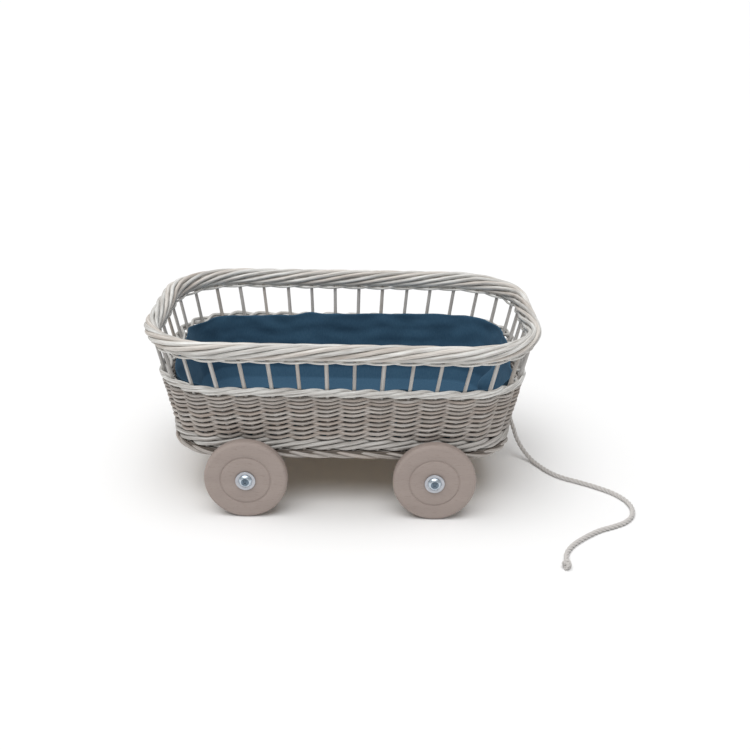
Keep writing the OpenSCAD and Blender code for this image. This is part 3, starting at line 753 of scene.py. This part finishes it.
def lining_sheet():
    """The cloth: up the walls in soft folds to a wavy top edge, and across the floor."""
    radius = stake_radius(open_mid_z)
    ring = around(radius, CLOTH_STEP)
    line = []
    for (a, out_a), (b, out_b) in zip(ring, ring[1:] + ring[:1]):
        pieces = max(1, round((b - a).length / CLOTH_STEP))
        line += [(a.lerp(b, i / pieces), out_a.lerp(out_b, i / pieces).normalized()) for i in range(pieces)]
    verts, uvs = [], []
    count = len(line)
    run = 0.0
    runs = []
    for i, (p, _) in enumerate(line):
        runs.append(run)
        run += (line[(i + 1) % count][0] - p).length
    floor_z = lining_lo.z + 1.2 * MM
    height = CLOTH_TOP - floor_z
    for j in range(WALL_ROWS + 1):
        v = j / WALL_ROWS
        for i, (p, out) in enumerate(line):
            edge = cloth_edge(p) + HEM_WAVE * (cloth_noise(p, 11, 1) + cloth_noise(p, 34, 2))
            z = floor_z + (height + edge) * v
            broad = abs(cloth_noise((p.x, p.y, z * 0.6), 16, 3)) * (0.25 + 0.6 * v)
            inset = LINING_GAP + CLOTH_SLACK + BROAD_FOLD * broad
            inset += FINE_FOLD * (cloth_noise((p.x, p.y, z * 2.2), 34, 4) + 0.5) * v
            inset += FOOT_ROUND * max(0.0, FOOT_SHARE - v) / FOOT_SHARE
            inset += knot_bulge(p + out * (stake_radius(z) - radius - LINING_GAP), z)
            here = p + out * (stake_radius(z) - radius - inset)
            here.z = z
            verts.append(here)
            uvs.append((runs[i], z))
    first = [Vector(verts[i]) for i in range(count)]
    middle = Vector((0, 0, floor_z))
    for j in range(1, FLOOR_ROWS + 1):
        t = j / FLOOR_ROWS
        for i in range(count):
            here = first[i].lerp(middle, t) if j < FLOOR_ROWS else middle.copy()
            lift = FLOOR_RIPPLE * (cloth_noise(here, 12, 5) + 0.5) * min(1, t * 6)
            here.z = floor_z + max(0, lift)
            verts.append(here)
            uvs.append((here.x, here.y))
    return verts, uvs, count


def build_lining():
    verts, uvs, count = lining_sheet()
    rows = len(verts) // count
    order = list(range(WALL_ROWS, -1, -1)) + list(range(WALL_ROWS + 1, rows - 1))
    faces = []
    for a, b in zip(order, order[1:]):
        for i in range(count):
            n = (i + 1) % count
            faces.append((a * count + i, b * count + i, b * count + n, a * count + n))
    centre = len(verts) - 1
    last = order[-1]
    faces += [(last * count + i, centre, last * count + (i + 1) % count) for i in range(count)]
    made = mesh_piece("blue_cotton_lining", verts, faces, lining_material)
    layer = made.data.uv_layers.new(name="cloth")
    for polygon in made.data.polygons:
        for corner in polygon.loop_indices:
            layer.data[corner].uv = uvs[made.data.loops[corner].vertex_index]
    work = bmesh.new()
    work.from_mesh(made.data)
    bmesh.ops.delete(work, geom=[v for v in work.verts if not v.link_faces], context="VERTS")
    work.to_mesh(made.data)
    work.free()
    solid = made.modifiers.new("cloth thickness", "SOLIDIFY")
    solid.thickness, solid.offset = 1.0 * MM, 0.0
    return made


lining = build_lining()
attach(lining, WAGON)
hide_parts("cloth_lining")


# ---------------------------------------------------------------- wheels and their fittings
beech = stained_beech()
pine = planed_pine()
plywood = birch_plywood()


def turned(name, hubs, outline, material, body, replaced):
    """Pieces turned about the axles through the hubs: outline is (distance from the hub, radius)."""
    verts, faces = [], []
    count, segments = len(outline), 96
    for centre in hubs:
        side = 1 if centre.y > 0 else -1
        base = len(verts)
        for s in range(segments):
            angle = s / segments * 2 * math.pi
            for along, radius in outline:
                verts.append((centre.x + math.cos(angle) * radius, centre.y + side * along,
                              centre.z + math.sin(angle) * radius))
            n = (s + 1) % segments
            for i in range(count):
                j = (i + 1) % count
                faces.append((base + s * count + i, base + s * count + j,
                              base + n * count + j, base + n * count + i))
    made = mesh_piece(name, verts, faces, material)
    work = bmesh.new()
    work.from_mesh(made.data)
    bmesh.ops.recalc_face_normals(work, faces=work.faces)
    work.to_mesh(made.data)
    work.free()
    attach(made, body)
    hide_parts(*replaced)


def arc(centre, radius, start, end, steps):
    """Points on a round stretch of an outline, angles in degrees from the axle's direction."""
    return [(centre[0] + radius * math.cos(math.radians(start + (end - start) * i / steps)),
             centre[1] + radius * math.sin(math.radians(start + (end - start) * i / steps)))
            for i in range(steps + 1)]


WHEEL_EDGE = 4.5 * MM
GROOVE_R = 30 * MM
BORE_R = 3.3 * MM
# Depth below the wheel's face and distance from the groove's middle, from the outside in
GROOVE_MM = [(0.25, 1.1), (1.0, 0.5), (1.1, 0), (1.0, -0.5), (0.3, -1.1), (0.05, -1.7), (0, -3)]


def wheel_outline(thick, radius):
    """Half section of a wheel: bore, flat back, round edges, and a turned groove on the outer face."""
    outline = [(0.4 * MM, BORE_R), (0, BORE_R + 0.5 * MM), (0, 12 * MM), (0, 24 * MM),
               (0, radius - WHEEL_EDGE - 4 * MM)]
    outline += arc((WHEEL_EDGE, radius - WHEEL_EDGE), WHEEL_EDGE, 180, 90, 8)
    outline += [(thick / 2, radius)]
    outline += arc((thick - WHEEL_EDGE, radius - WHEEL_EDGE), WHEEL_EDGE, 90, 0, 8)
    outline += [(thick, radius - WHEEL_EDGE - 3 * MM), (thick, 38 * MM), (thick, GROOVE_R + 1.6 * MM)]
    outline += [(thick - depth * MM, GROOVE_R + off * MM) for depth, off in GROOVE_MM]
    return outline + [(thick, 20 * MM), (thick, BORE_R + 0.5 * MM), (thick - 0.4 * MM, BORE_R)]


hubs = []
for end in ("front", "rear"):
    for hand in ("left", "right"):
        node_name = f"wheel_{end}_{hand}"
        lo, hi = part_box(node_name)
        inner = lo.y if hand == "left" else hi.y
        hubs.append(Vector(((lo.x + hi.x) / 2, inner, (lo.z + hi.z) / 2)))
        turned(node_name + "_turned", hubs[-1:], wheel_outline(hi.y - lo.y, (hi.x - lo.x) / 2), beech,
               node_name, [node_name])


def ring_outline(start, thick, bore, rim, edge):
    """Half section of a flat washer whose edges are rolled over."""
    return [(start, bore), (start, rim - edge), (start + 0.3 * edge, rim),
            (start + thick - 0.7 * edge, rim), (start + thick - 0.2 * edge, rim - 0.3 * edge),
            (start + thick, rim - edge),
            (start + thick, rim - 1.2 * MM), (start + thick, bore)]


def cup_outline(start, height, bore, rim, head):
    """Half section of a cup washer: a thin foot, a domed side and a rolled lip round the screw's head."""
    foot = [(start, bore), (start, rim - 0.3 * MM), (start + 0.2 * MM, rim), (start + 0.5 * MM, rim)]
    side = [(start + height * a, head + (rim - head) * b) for a, b in (
        (0.28, 0.92), (0.5, 0.76), (0.7, 0.56), (0.86, 0.36), (0.97, 0.18), (1.0, 0.06))]
    return foot + side + [(start + 0.94 * height, head - 0.1 * MM), (start + 0.6 * height, bore)]


washer_lo, washer_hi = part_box("outer_washers")
cup_lo, cup_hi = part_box("cup_washers")
WHEEL_SPAN = hubs[0].x - hubs[2].x
WASHER_T, CUP_H, SHANK_R, HEAD_R = 1.5 * MM, 3 * MM, 3.05 * MM, 4.75 * MM
bright_zinc = zinc_plate("zinc plated washers", "C9CBD0", "A9ACB3", 0.3, 0.48)
blue_zinc = zinc_plate("blue zinc plated cup washers", "D6E0E8", "B4C2CE", 0.22, 0.36)
dark_zinc = zinc_plate("blue zinc plated screws", "7E8E9C", "5F6E7C", 0.25, 0.4)
turned("outer_washers_pressed", hubs,
       ring_outline(washer_hi.y - hubs[0].y - WASHER_T, WASHER_T, SHANK_R,
                    (washer_hi.x - washer_lo.x - WHEEL_SPAN) / 2, 0.5 * MM),
       bright_zinc, WAGON, ["outer_washers"])
turned("cup_washers_pressed", hubs,
       cup_outline(cup_hi.y - hubs[0].y - CUP_H, CUP_H, SHANK_R,
                   (cup_hi.x - cup_lo.x - WHEEL_SPAN) / 2, HEAD_R),
       blue_zinc, WAGON, ["cup_washers"])

for node_name, material in (("base_board", plywood), ("front_axle_bar", pine), ("rear_axle_bar", pine),
                            ("bar_screws", bright_zinc), ("axle_screws", dark_zinc),
                            ("inner_washers", bright_zinc)):
    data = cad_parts[node_name].data
    data.materials.clear()
    data.materials.append(material)


# ---------------------------------------------------------------- floor and light
def studio():
    material, tree, out = new_material("studio floor")
    shader = add(tree, "ShaderNodeBsdfPrincipled",
                 named={"Base Color": linear("F4F4F4"), "Roughness": 0.9, "Specular IOR Level": 0.1})
    to_surface(tree, shader, out)
    half = 30
    corners = [(-half, -half, 0), (half, -half, 0), (half, half, 0), (-half, half, 0)]
    floor = mesh_piece("studio_floor", corners, [(0, 1, 2, 3)], material)
    world = bpy.data.worlds.new("studio")
    bpy.context.scene.world = world
    world.use_nodes = True
    background = world.node_tree.nodes["Background"]
    background.inputs["Color"].default_value = (1, 1, 1, 1)
    background.inputs["Strength"].default_value = 0.35
    light = bpy.data.lights.new("soft overhead", "SUN")
    light.angle, light.energy = math.radians(65), 2.6
    lamp = bpy.data.objects.new("soft overhead", light)
    lamp.rotation_euler = (math.radians(14), math.radians(-8), 0)
    bpy.context.scene.collection.objects.link(lamp)
    bpy.context.scene.view_settings.view_transform = "Standard"


studio()
